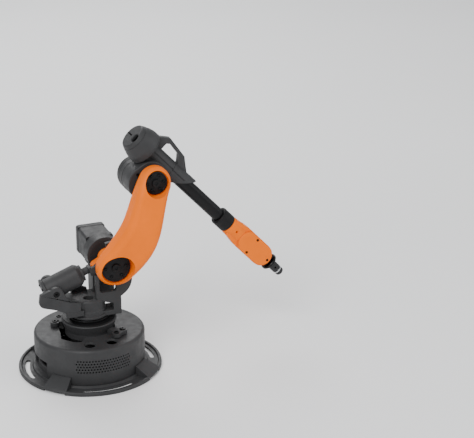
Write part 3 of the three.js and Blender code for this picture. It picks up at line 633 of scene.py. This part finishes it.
def shoulder_plate():
    """The plate round the shoulder axis, with its column side and its window."""
    outline = [(6, 101)]
    outline += bezier((6, 101), (14, 100.5), (22, 95), (31, 95), 12)
    outline += [(COLUMN_X, DECK_Z), (COLUMN_X, DECK_TOP)]
    outline += bezier((COLUMN_X, DECK_TOP), (49, 108), (57.1, 114), (57.1, 130))
    outline += arc(J2_X, J2_Z, 28.6, 0, 105, 32)
    outline += [(J2_X - 3, J2_Z + 12)]
    outline += arc(J2_X, J2_Z, 12.4, 104, -60, 40)
    outline += [(34.5, 116.5)]
    outline += bezier((34.5, 116.5), (34.5, 113), (33, 111.5), (29.5, 111.5), 10)
    outline += [(16, 111.5)]
    outline += bezier((16, 111.5), (12.5, 111.5), (11, 113), (11, 116.5), 10)
    outline += [(11, 137), (6, 137)]
    return slab(outline, EAR_Y[0], EAR_Y[1], 0.5)


def yoke_arm(side):
    """A yoke arm for the balancer's barrel. The near one ends in a long tail."""
    x, z = TRUNNION
    if side < 0:
        outline = [(-17, DECK_Z), (-37, DECK_Z), (-50.5, 99), (-66, 104)]
        outline += bezier((-66, 104), (-71, 105.5), (-73.5, 108), (-73.5, 113), 12)
        outline += [(-72, 124), (-60, 128)]
        outline += arc(x, z, 9.6, 140, 50, 16)
        outline += bezier(outline[-1], (-40, 126), (-37, 111), (-30, 108), 14)
        outline += [(-17, DECK_TOP + 2)]
        arm = slab(rounded(outline, 0.8, 3), -YOKE_OUT, -YOKE_IN, 0.8)
        join(arm, rod(8, -YOKE_OUT - 1.2, -YOKE_IN, at=(x, 0, z), edge=0.5))
    else:
        outline = [(-18, 112)]
        outline += arc(x, z, 9.6, 260, 50, 30)
        outline += bezier(outline[-1], (-40, 126), (-34, 121), (-24, 117), 14)
        outline += [(4, 106), (4, DECK_Z), (-18, DECK_Z)]
        arm = slab(outline, YOKE_IN, YOKE_OUT, 0.8)
        join(arm, rod(8, YOKE_IN, YOKE_OUT + 1.2, at=(x, 0, z), edge=0.5))
    return cut(arm, rod(4.3, -40, 40, at=(x, 0, z)))


def turret():
    drum = turned(rounded([
        (0, 77.4), (25.9, 77.4, 0.5), (25.9, 80.8, 0.8), (23.5, 81.6, 0.4), (23.5, 87, 0.5),
        (22.7, 87.6, 0.3), (22.7, DECK_TOP - 2, 0.8), (20.9, DECK_TOP, 0.8), (0, DECK_TOP),
    ], 0.4, 4, open_ends=True), steps=128)
    join(drum, block(10, COLUMN_X, EAR_Y[0], 6, 77.4, 84.4, 0.6, 1.5))
    join(drum, block(30, COLUMN_X, EAR_Y[0], -4, 79.4, 108, 0.6, 1.5))
    join(drum, block(-34, -6, -19, 19, DECK_Z, DECK_TOP, 0.8, 2.0))
    join(drum, block(10, 40, 8.5, 32, DECK_Z, 136, 0.8, 2.0))
    join(drum, rod(24, 12, 32, at=(J2_X, 0, J2_Z), edge=0.8, steps=96))
    join(drum, block(-38, -13, -YOKE_OUT, -14, 84.8, DECK_Z + 0.5, 0.6, 1.2))
    join(drum, shoulder_plate())
    join(drum, yoke_arm(-1))
    join(drum, yoke_arm(1))
    cut(drum, rod(20, 8, 40, at=(J2_X, 0, J2_Z), steps=96))
    cable_hole = [(0, 86), (6.6, 86), (6.6, 102), (7.4, 103.4), (7.4, 110), (0, 110)]
    cut(drum, turned(cable_hole, "Z", (-2, -8, 0), 48))
    cut(drum, rod(9.6, -22, -8, at=(J2_X, 0, J2_Z), steps=64))
    soften(drum, 0.4)
    piece(drum, "turret_casting", "turret", "grey_casting")
    outline = [(0, 56), (8, 56), (8, 74.35), (28, 74.35), (28, 77, 0.8), (0, 77)]
    shaft = turned(rounded(outline, 0.3, 4, True), steps=128)
    piece(shaft, "j1_output_shaft", "turret", "black_tube")


def shoulder_motor():
    at = (J2_X, 0, J2_Z)
    reducer = cut(rod(19.6, 12, 32.2, at=at, edge=0.6, steps=96), rod(8.4, 8, 20, at=at))
    piece(reducer, "j2_reducer", "turret", "motor_grey")

    def square(half, corner):
        return rounded([(J2_X + sx * half, J2_Z + sz * half) for sx, sz in SQUARE], corner, 6)

    front, back = 32.2 + GAP, 80.0
    body = slab(square(19.1, 4.6), front + 1, back - 1, 0)
    join(body, slab(square(19.5, 3.2), front, front + 9, 0.4))
    join(body, slab(square(19.5, 3.2), back - 9, back, 0.4))
    piece(body, "j2_motor", "turret", "motor_grey")
    cap = slab(square(18.6, 4), back + GAP, 83, 0.8)
    for sx in (-1, 1):
        for sz in (-1, 1):
            x, z = J2_X + sx * 15.4, J2_Z + sz * 15.4
            cut(cap, rod(2.2, 81.2, 90, at=(x, 0, z), steps=24))
            detail(cap_screw(1.9, 1.3, (x, 81.2, z), "Y", 1), f"motor_screw_{sx + 1}{sz + 1}", "turret",
                "steel")
    piece(cap, "j2_motor_cap", "turret", "black_plastic")


# ---------------------------------------------------------------- upper arm


def near_face(z):
    """The near face's distance from the middle plane at a height on the arm."""
    return ARM_NEAR - ARM_BULGE * z * (1 - z / UPPER)


def swollen(shell):
    """The shell, still upright, with its near face swelling between the joints."""
    bm = bmesh.new()
    bm.from_mesh(shell.data)
    for z in range(-24, 148, 4):
        geometry = bm.verts[:] + bm.edges[:] + bm.faces[:]
        bmesh.ops.bisect_plane(bm, geom=geometry, plane_co=(0, 0, z * MM), plane_no=(0, 0, 1))
    for vert in bm.verts:
        share = (near_face(vert.co.z / MM) - ARM_FAR) / (ARM_NEAR - ARM_FAR)
        vert.co.y = ARM_FAR * MM + (vert.co.y - ARM_FAR * MM) * share
    bm.to_mesh(shell.data)
    bm.free()
    return shell


def upper_arm_shell():
    outline = arc(0, 0, 26, 180, 352, 56)
    outline += bezier(outline[-1], (31, 14), (36, 32), (33.5, 56), 24)
    outline += bezier((33.5, 56), (31.5, 76), (22.5, 100), (21.2, UPPER - 3), 24)
    outline += arc(0, UPPER, 21.2, -8, 180, 48)
    outline += bezier((-21.2, UPPER), (-22, 100), (-17, 80), (-16.5, 62), 24)
    outline += bezier((-16.5, 62), (-16, 44), (-23, 22), (-26, 0), 24)
    shell = swollen(slab(outline, ARM_NEAR, ARM_FAR, 9.5, 8.0, 6.0, steps=9))
    for z, r, floor in RECESSES:
        cut(shell, rod(r, -80, floor, at=(0, 0, z), steps=96))
    soften(shell, 1.3, 4, 50)
    for z in (0, UPPER):
        cut(shell, rod(7.1, -45, -20, at=(0, 0, z)))
    piece(moved(shell, UPPER_FRAME), "upper_arm_shell", "upper_arm", "orange_shell")


def balancer_crank():
    """The crank on the shoulder shaft that pulls the balancer's rod."""
    half, hub_r, eye_r = 5.6, 12.0, 6.6
    ex, ez = EYE[0] - J2_X, EYE[1] - J2_Z
    at = (ex, 0, ez)
    reach = math.hypot(ex, ez)
    sx, sz = -ez / reach * eye_r, ex / reach * eye_r
    crank = rod(hub_r, -half, half, edge=0.8, steps=72)
    join(crank, rod(eye_r, -half, half, at=at, edge=0.8, steps=48))
    join(crank, slab([(sx, sz), (-sx, -sz), (ex - sx, ez - sz), (ex + sx, ez + sz)], 0.8 - half, half - 0.8,
        0.6))
    cut(crank, rod(7.1, -20, 20))
    soften(crank, 0.4)
    join(crank, rod(2.9, -11.1, 0, at=at, edge=0.4, steps=40))
    piece(moved(crank, Matrix.Translation((J2_X, 0, J2_Z))), "balancer_crank", "upper_arm", "orange_shell")


def output_disc(node, z, r, floor, circle):
    """A joint's output disc at the bottom of its recess, with its ring of screws."""
    place = UPPER_FRAME
    back = floor - GAP
    face = back - 2.4
    profile = rounded([
        (0, back), (r, back, 0.2), (r, face, 0.6), (r - 1.8, face, 0.3), (r - 2.4, face + 0.7, 0.3),
        (5.8, face + 0.7, 0.3), (5.2, face - 1.6, 0.5), (2.6, face - 1.6, 0.2), (2.6, face - 0.2, 0.2),
        (0, face - 0.2),
    ], 0.3, 3, open_ends=True)
    piece(turned(profile, "Y", (0, 0, z), 96, place), node, "upper_arm", "black_plastic")
    for i in range(6):
        dx, dz = polar(circle, 30 + 60 * i)
        screw = cap_screw(2.3, 1.7, (dx, face + 0.7, z + dz), "Y", -1, place)
        detail(screw, f"{node}_screw_{i + 1}", "upper_arm", "black_tube")


def upper_arm():
    place = UPPER_FRAME
    upper_arm_shell()
    balancer_crank()
    (_, low_r, low_floor), (_, high_r, high_floor) = RECESSES
    output_disc("j2_output_disc", 0, low_r - 1.6, low_floor, 14.2)
    output_disc("j3_output_disc", UPPER, high_r - 1.4, high_floor, 10.8)
    for node, z, r, y0, y1 in (("shoulder_ring", 0, 11.6, -25.1, -22.4),
            ("elbow_ring", UPPER, 17.5, -25.1, -22.6)):
        profile = rounded([(7.1, y0), (r, y0), (r, y1), (7.1, y1)], 0.4, 4)
        piece(turned(profile, "Y", (0, 0, z), 96, place), node, "upper_arm", "motor_grey")
    for node, z, floor, end in (("j2_output_shaft", 0, low_floor, 18),
            ("j3_output_shaft", UPPER, high_floor, 6)):
        piece(rod(6.8, floor, end, at=(0, 0, z), edge=0.4, place=place), node, "upper_arm", "steel")


# ---------------------------------------------------------------- balancer


def balancer():
    place = BALANCER_FRAME
    barrel = turned(rounded([
        (12.6, -8), (15.5, -8, 0.4), (15.5, 38, 0.8), (12.5, 42.5, 0.8), (11.4, 42.5, 0.3), (11.4, 46, 0.6),
        (8.4, 46, 0.5), (8.4, 39.5), (12.6, 39.5),
    ], 0.3, 4), "X", steps=96, place=place)
    cut(barrel, rod(4.2, -30, 30, at=(0, 0, 0), place=place))
    piece(barrel, "balancer_barrel", "barrel", "grey_casting")
    cap = turned(rounded([
        (0, -12.5), (14.8, -12.5, 0.6), (15.3, -11.9, 0.4), (17.5, -11.6, 0.6), (17.5, -8.4, 0.6),
        (12.2, -8.4), (12.2, -5), (0, -5),
    ], 0.3, 4, True), "X", steps=96, place=place)
    piece(cap, "balancer_end_plate", "barrel", "grey_casting")
    for i in range(4):
        y, z = polar(10.6, 45 + 90 * i)
        detail(cap_screw(1.8, 1.2, (-12.4, y, z), "X", -1, place), f"end_plate_screw_{i + 1}", "barrel",
            "black_tube")
    length = BALANCER_LENGTH
    shank = length - 7.6
    bar = rod(5.2, 4, shank, "X", edge=0.5, steps=48, place=place)
    join(bar, block(shank - 5, shank, -12, 4, -5.2, 5.2, 0.6, 1.0, place=place))
    join(bar, block(shank - 5, length, -12, -6.1, -5.2, 5.2, 0.6, 1.0, place=place))
    join(bar, rod(6.4, -12, -6.1, at=(length, 0, 0), edge=0.6, steps=48, place=place))
    cut(bar, rod(3.3, -20, 0, at=(length, 0, 0), steps=48, place=place))
    soften(bar, 0.3)
    piece(bar, "balancer_rod", "rod", "grey_casting")
    for label, side in (("near", -1), ("far", 1)):
        low, high = sorted((side * (YOKE_IN - 1.6), side * (YOKE_OUT - 1)))
        pin = rod(3.9, low, high, at=(TRUNNION[0], 0, TRUNNION[1]), edge=0.5, steps=48)
        outline = hex_outline(TRUNNION[0], TRUNNION[1], 3.6)
        face = side * (YOKE_OUT - 1)
        cut(pin, slab(outline, *sorted((face - side * 2, face + side * 3)), 0))
        piece(pin, f"balancer_pivot_{label}", "turret", "black_tube")


# ---------------------------------------------------------------- forearm


def groove(s0, s1, h, half):
    """A cutter for the narrow joint line along the near side of the forearm."""
    return block(s0, s1, -SLEEVE_R - 1, 2.2 - SLEEVE_R, h - half, h + half, 0, 0.3, place=FOREARM_FRAME)


def elbow():
    place = FOREARM_FRAME
    at = (0, 0, -OFFSET)
    tilt = math.degrees(math.asin((HUB_LOW_R - HUB_R) / HUB_DROP))
    low = (0, 0, MOTOR3_H)
    outline = arc(0, MOTOR3_H, HUB_LOW_R, 180 - tilt, 360 + tilt, 64)
    outline += arc(0, -OFFSET, HUB_R, tilt, 180 - tilt, 48)
    body = slab(outline, *HUB_Y, 1.2, edge_b=0.4, place=place)
    join(body, rod(24.4, HUB_Y[1] - 0.4, 17.2, at=low, edge=0.4, steps=96, place=place))
    join(body, block(-20, 18, -12, 12, -OFFSET, -6, 1.0, 2.0, place=place))
    join(body, rod(SLEEVE_R, -24, 20, "X", edge=0.3, steps=96, place=place))
    join(body, rod(20.5, -24, -21, "X", edge=0.4, steps=96, place=place))
    cut(body, rod(TUBE_R + 2.4, -40, 40, "X", steps=64, place=place))
    cut(body, rod(7.4, -30, 8, at=at, place=place))
    cut(body, rod(9.6, -30, -17, at=at, place=place))
    cut(body, rod(20.5, 13, 20, at=low, steps=96, place=place))
    cut(body, groove(-20.9, 19.8, 3.9, 0.75))
    soften(body, 0.3)
    piece(body, "elbow_casting", "forearm", "grey_casting")
    detail(cap_screw(2.2, 1.3, (-17.9, HUB_Y[0], -32.9), "Y", -1, place), "elbow_screw", "forearm",
        "black_tube")
    cover = turned(rounded([
        (0, 26.4), (20.3, 26.4), (20.3, 17.55), (24.4, 17.55, 0.4), (24.4, 27, 2.5), (21.6, 30, 1.5),
        (0, 30),
    ], 0.3, 5, True), "Y", low, 96, place)
    piece(cover, "j3_motor_cover", "forearm", "motor_grey")


def motor_cap():
    place = FOREARM_FRAME
    cap = turned(rounded([
        (0, -52), (16.6, -52, 0.6), (17.8, -51, 0.8), (19.8, -46.9, 0.2), (19.2, -46.6, 0.1),
        (20.1, -46.2, 0.2), (22.8, -39, 6), (24.4, -32, 6), (24.5, -25.9, 0.2), (24.0, -25.6, 0.1),
        (24.6, -25.2, 0.2), (24.6, -24.4, 0.2), (22.2, -24.4, 0.3), (20.6, -38, 4), (17.2, -48.2, 0.6),
        (0, -48.2),
    ], 0.3, 6, True), "X", steps=128, place=place)
    hole = [(0, -60), (7.1, -60), (7.1, -52), (6.2, -51), (6.2, -40), (0, -40)]
    cut(cap, turned(hole, "X", (0, -10.5, 0), 48, place))
    cut(cap, block(-60, -40, 1, 16, -0.9, 0.9, 0, 0.6, place=place))
    piece(cap, "j4_motor_cap", "forearm", "grey_casting")


def sleeve():
    place = FOREARM_FRAME
    body = rod(SLEEVE_R, 20 + GAP, 63, "X", edge=0.3, steps=96, place=place)
    cut(body, slab([(64, 14.5), (64, -30), (9.3, -30)], -20, 20, 0, place=place))
    cut(body, groove(20.5, 44, 3.0, 0.5))
    web = rounded([(20.4, 8, 0), (-23.6, 8, 0), (-23.6, 23), (-10, 32), (24, 27), (41, 14.4), (46, 8, 0)],
        2.0)
    truss = slab(web, -4.6, 4.6, 1.0, place=place)
    opening = rounded([(24, 12), (22.5, 15.3), (15.4, 23.4), (-4.4, 26.3), (-9, 22.8), (-9, 12)], 1.2)
    cut(truss, slab(opening, -9, 9, 0, place=place))
    cut(truss, rod(SLEEVE_R + GAP, -60, 20 + GAP, "X", steps=96, place=place))
    cut(truss, rod(20.9, -60, -20.6, "X", steps=96, place=place))
    join(body, truss)
    cut(body, rod(TUBE_R + 2, 0, 90, "X", steps=64, place=place))
    soften(body, 0.4)
    piece(body, "forearm_sleeve", "forearm", "grey_casting")


# ---------------------------------------------------------------- forearm roll


def roll_tube():
    place = FOREARM_FRAME
    tube = cut(rod(TUBE_R, -22, 145, "X", steps=96, place=place),
        rod(TUBE_R - 2, -18, 160, "X", steps=64, place=place))
    piece(tube, "forearm_tube", "forearm_roll", "black_tube")
    collar = turned(rounded([
        (TUBE_R + GAP, 125), (12.2, 125, 0.6), (13, 126.4, 0.6), (13, 144.2, 0.5), (12.4, 145, 0.2),
        (TUBE_R + GAP, 145),
    ], 0.3, 4), "X", steps=96, place=place)
    piece(collar, "tube_collar", "forearm_roll", "black_plastic")


def wrist_housing():
    place = FOREARM_FRAME
    start, cover_s = 145, 183
    straight = cover_s - 5
    outline = bezier((start + 5, 12.6), (start + 15, 12.9), (start + 23, WRIST_HALF),
        (straight, WRIST_HALF), 20)
    outline = [(start + 5, 12.6)] + outline + arc(WRIST_S, 0, WRIST_HALF, 90, -90, 40)
    outline += [(s, -h) for s, h in reversed(outline[:21])]
    body = slab(outline, -PRONG_Y, PRONG_Y, 1.6, 1.4, place=place)
    neck = turned(rounded([
        (0, start + GAP), (12.4, start + GAP, 0.3), (13.2, start + 4, 2), (13.2, straight), (0, straight),
    ], 0.3, 5, True), "X", steps=96, place=place)
    join(body, neck)
    seat = WRIST_HALF - 0.4 + GAP
    for y0, y1 in ((-20, -PRONG_Y), (PRONG_Y, 20)):
        cut(body, rod(seat, y0, y1, at=(cover_s, 0, 0), steps=96, place=place))
    slot = 6.4
    cut(body, block(WRIST_S - 17, 240, -slot, slot, -25, 25, 0, 0.5, place=place))
    cut(body, block(170, WRIST_S - 16, -slot, slot, -10, 10, 0, 0.5, place=place))
    cut(body, rod(5.6, 130, 172, "X", place=place))
    cut(body, rod(4.3, -20, 20, at=(WRIST_S, 0, 0), place=place))
    cut(body, rod(2.6, -20, 0, at=(183, 0, 0), place=place))
    cut(body, turned([(0, -20), (2.6, -20), (2.6, -12.6), (1.5, -12.4), (1.5, -9), (0, -9)], "Y",
        (158, 0, 0), 32, place))
    soften(body, 0.3)
    piece(body, "wrist_housing", "forearm_roll", "orange_shell")


def cheek_covers():
    place = FOREARM_FRAME
    inner = PRONG_Y + GAP
    for label, side in (("near", -1), ("far", 1)):
        outline = arc(183, 0, WRIST_HALF - 0.4, 90, 270, 40) + arc(WRIST_S, 0, WRIST_HALF - 0.4, -90, 90,
            40)
        hollow = arc(183, 0, WRIST_HALF - 2.6, 90, 270, 40) + arc(WRIST_S, 0, WRIST_HALF - 2.6, -90, 90, 40)
        low, high = sorted((side * inner, side * COVER_Y))
        edges = (2.2, 0.4) if side < 0 else (0.4, 2.2)
        body = slab(outline, low, high, edges[0], None, edges[1], steps=6, place=place)
        cut(body, slab(hollow, *sorted((side * (inner - 1), side * (COVER_Y - 1.8))), 0, place=place))
        piece(body, f"wrist_cover_{label}", "forearm_roll", "orange_shell")
        for i, (s, h) in enumerate(((190, 11.3), (190, -11.3), (223, 0))):
            screw = cap_screw(1.7, 1.0, (s, side * (COVER_Y - 0.35), h), "Y", side, place)
            detail(screw, f"cover_screw_{label}_{i + 1}", "forearm_roll", "black_tube")


# ---------------------------------------------------------------- wrist and tool


def wrist():
    place = FOREARM_FRAME
    y = 6.0
    body = rod(13.6, -y, y, at=(WRIST_S, 0, 0), edge=0.6, steps=96, place=place)
    join(body, block(WRIST_S, FLANGE_S - GAP, -y, y, -10.4, 10.4, 0.6, 0.8, place=place))
    cut(body, rod(3.2, -20, 20, at=(WRIST_S, 0, 0), place=place))
    cut(body, block(WRIST_S + 5, FLANGE_S + 5, -4.4, 4.4, -6.4, 6.4, 0, 0.3, place=place))
    soften(body, 0.3)
    piece(body, "wrist_block", "wrist", "black_plastic")


def tool():
    place = FOREARM_FRAME
    face = FLANGE_S + 3.8
    flange = turned(rounded([
        (0, FLANGE_S), (11.4, FLANGE_S), (12.2, FLANGE_S + 0.8), (12.2, face - 0.8), (11.2, face),
        (0, face),
    ], 0.4, 4, True), "X", steps=96, place=place)
    piece(flange, "tool_flange", "tool", "black_tube")
    start = face + GAP
    socket = turned(rounded([
        (0, start), (10.4, start, 0.3), (10.4, start + 0.9, 0.3), (6.4, start + 1.4, 0.6),
        (6.4, start + 15.4, 0.5), (0, start + 15.4),
    ], 0.3, 4, True), "X", steps=96, place=place)
    cut(socket, rod(1.5, -9, -3, at=(start + 9, 0, 0), steps=32, place=place))
    piece(socket, "tool_socket", "tool", "motor_grey")
    neck = start + 15.4 + GAP
    ring = turned(rounded([(0, neck), (6.2, neck), (6.2, neck + 1.9), (0, neck + 1.9)], 0.4, 4, True), "X",
        steps=64, place=place)
    piece(ring, "tool_ring", "tool", "steel")
    tip = neck + 1.9 + GAP
    end = turned(rounded([(0, tip), (6, tip, 0.3), (6, tip + 4, 0.6), (5, tip + 5.4, 0.4), (0, tip + 5.4)],
        0.3, 4, True),
                 "X", steps=96, place=place)
    piece(end, "tool_tip", "tool", "motor_grey")


# ---------------------------------------------------------------- what keeps its CAD shape


def dress_cad_nodes():
    slots = {row["node"]: row["material_slot"] for row in frame["record"]["subparts"]}
    for name, obj in frame["nodes"].items():
        obj.data.materials.clear()
        obj.data.materials.append(LOOKS[slots[name]])


# ---------------------------------------------------------------- camera, floor and light

VIEW_AZIMUTH, VIEW_ELEVATION = math.radians(-21.8), math.radians(21.57)
VIEW_SPOT = (-0.58226, -1.99543, 1.03130)
SENSOR_WIDTH, LENS, VIEW_END = 36, 127.85, 20
FLOOR_HALF, FLOOR_Z = 9000, -0.05  # mm
FLOOR_LOW, FLOOR_HIGH, FLOOR_ROUGH = (0.88, 0.88, 0.88), (0.91, 0.91, 0.91), 0.7
LIGHT_TARGET = (0.05, 0, 0.15)
LIGHTS = (
    # name, position, size and power
    ("key", (-1.3, -1.5, 2.0), 1.4, 62),
    ("fill", (1.9, -1.2, 1.4), 1.8, 20),
    ("back", (0.3, 1.8, 1.6), 1.6, 34),
)
SKY_COLOR, SKY_STRENGTH = (0.95, 0.97, 1.0, 1), 0.6


def camera():
    data = bpy.data.cameras.new("camera")
    data.sensor_width = SENSOR_WIDTH
    data.lens = LENS
    data.clip_end = VIEW_END
    obj = bpy.data.objects.new("camera", data)
    back = Vector((
        math.sin(VIEW_AZIMUTH) * math.cos(VIEW_ELEVATION),
        -math.cos(VIEW_AZIMUTH) * math.cos(VIEW_ELEVATION),
        math.sin(VIEW_ELEVATION),
    ))
    obj.location = VIEW_SPOT
    obj.rotation_euler = back.to_track_quat("Z", "Y").to_euler()
    bpy.context.scene.collection.objects.link(obj)
    bpy.context.scene.camera = obj


def studio():
    corners = [(sx * FLOOR_HALF, sy * FLOOR_HALF, FLOOR_Z) for sx, sy in SQUARE]
    floor = make("floor", corners, [(0, 1, 2, 3)])
    n = Nodes("floor")
    n.link(n.blend(n.noise(1.2, 2), FLOOR_LOW, FLOOR_HIGH), n.shader.inputs["Base Color"])
    n.shader.inputs["Roughness"].default_value = FLOOR_ROUGH
    floor.data.materials.append(n.material)
    for name, spot, size, power in LIGHTS:
        data = bpy.data.lights.new(name, "AREA")
        data.size = size
        data.energy = power
        obj = bpy.data.objects.new(name, data)
        obj.location = spot
        aim = Vector(LIGHT_TARGET) - Vector(spot)
        obj.rotation_euler = aim.to_track_quat("-Z", "Y").to_euler()
        bpy.context.scene.collection.objects.link(obj)
    world = bpy.data.worlds.new("world")
    world.use_nodes = True
    background = world.node_tree.nodes["Background"]
    background.inputs["Color"].default_value = SKY_COLOR
    background.inputs["Strength"].default_value = SKY_STRENGTH
    bpy.context.scene.world = world


camera()
studio()
dress_cad_nodes()
base_flange()
base_cover()
housing()
base_rest()
turret()
shoulder_motor()
upper_arm()
balancer()
elbow()
motor_cap()
sleeve()
roll_tube()
wrist_housing()
cheek_covers()
wrist()
tool()
